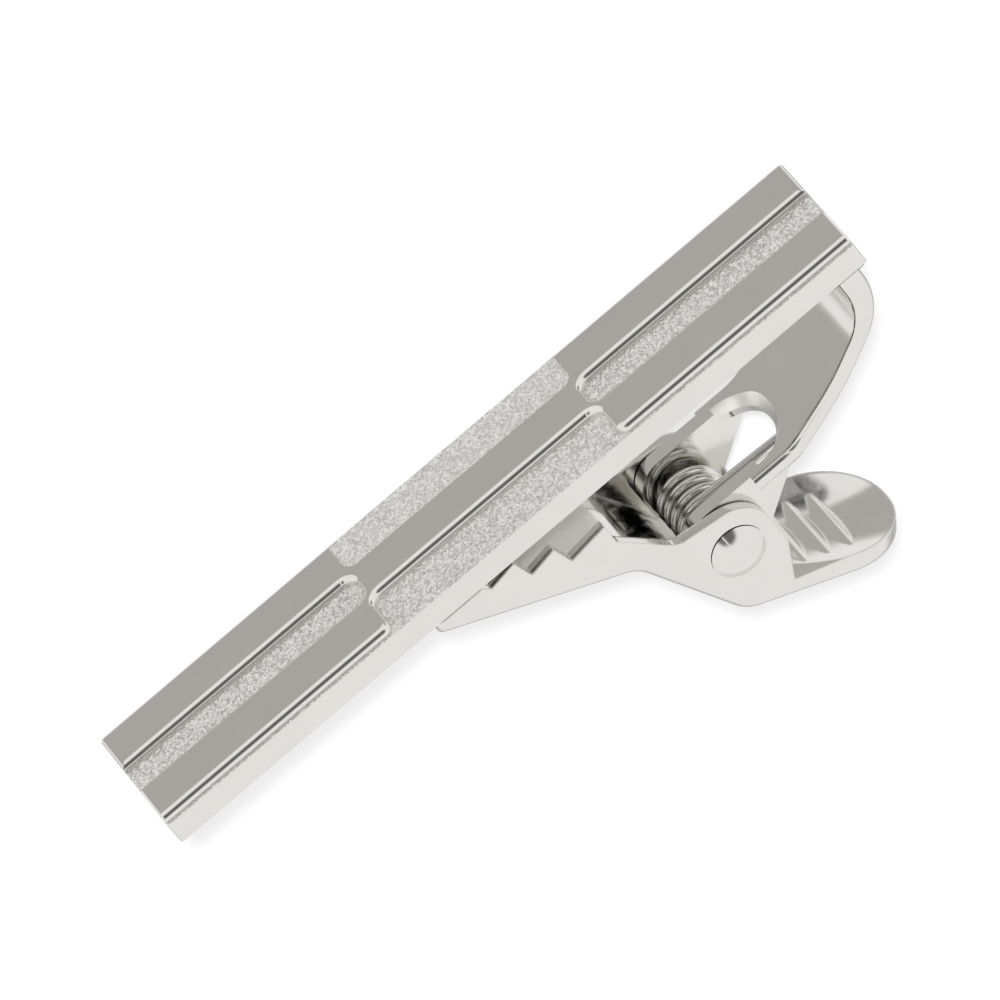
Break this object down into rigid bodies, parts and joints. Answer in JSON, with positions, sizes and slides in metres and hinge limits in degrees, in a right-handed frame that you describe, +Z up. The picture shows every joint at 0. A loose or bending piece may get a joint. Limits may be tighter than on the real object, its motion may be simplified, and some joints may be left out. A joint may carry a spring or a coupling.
{
  "type": "tie clip",
  "caption": "Tie clip: a slim plated bar with a stepped geometric front, a bent bow arm behind it and a sprung toothed jaw that a thumb lever opens.",
  "frame": {"origin": "centre of the bar's front face, on the plane of its raised stripes", "axes": "worn orientation: +X along the bar towards the free end where the tie goes in, -Y out of the front face towards the viewer, +Z up"},
  "size_m": [0.042, 0.0183, 0.0084],
  "materials": {
    "bar_plate": "polished raised stripes, sand-blasted recesses",
    "bow_plate": "polished plate",
    "solder": "plated over, satin",
    "jaw_plate": "polished plate on stamped sheet",
    "rivet_plate": "polished plate",
    "spring_wire": "bright drawn spring wire"
  },
  "bodies": {
    "clip": {"front_bar": "bar_plate", "bow_arm": "bow_plate", "solder_bead": "solder", "hinge_rivet": "rivet_plate", "torsion_spring": "spring_wire"},
    "jaw": {"jaw_lever": "jaw_plate"}
  },
  "joints": [
    {"name": "jaw_hinge", "type": "hinge", "parent": "clip", "child": "jaw", "pos_m": [-0.0077, 0.01075, 0], "axis": [0, 0, 1], "range_deg": [0, 35], "stiffness_Nm_per_rad": 0.04, "springref_deg": -34.38, "deforming": ["torsion_spring"]}
  ]
}
